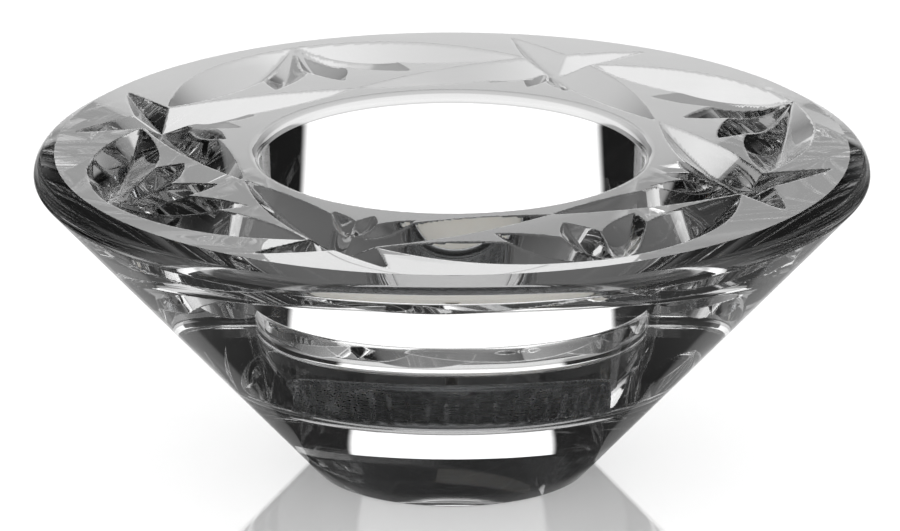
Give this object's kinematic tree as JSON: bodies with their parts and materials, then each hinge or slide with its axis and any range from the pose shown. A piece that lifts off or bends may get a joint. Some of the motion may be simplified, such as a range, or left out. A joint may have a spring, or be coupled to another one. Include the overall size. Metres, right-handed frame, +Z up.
{
  "type": "votive candle holder",
  "caption": "Flared cone of clear cut crystal with a flat leaf-cut rim and a round well that holds a loose tealight.",
  "frame": {"origin": "middle of the base, on the surface that the holder stands on", "axes": "+Z up along the axis of the cone and the well, -Y towards the picture's camera, +X to its right"},
  "size_m": [0.1, 0.1, 0.0393],
  "materials": {
    "crystal": "clear lead crystal, cut and polished",
    "cup_aluminium": "thin pressed sheet, bright rolled finish",
    "wax": "poured paraffin wax, soft satin surface",
    "wick_cotton": "braided cotton primed with wax, charred where it stands above the wax",
    "sustainer_tin": "stamped tinned steel"
  },
  "bodies": {
    "holder": {"glass_holder": "crystal"},
    "tealight": {"tealight_cup": "cup_aluminium", "tealight_wax": "wax", "tealight_wick": "wick_cotton", "wick_sustainer": "sustainer_tin"}
  },
  "joints": [
    {"name": "tealight_lift", "type": "slide", "parent": "holder", "child": "tealight", "axis": [0, 0, 1], "range_m": [0, 0.045]}
  ]
}
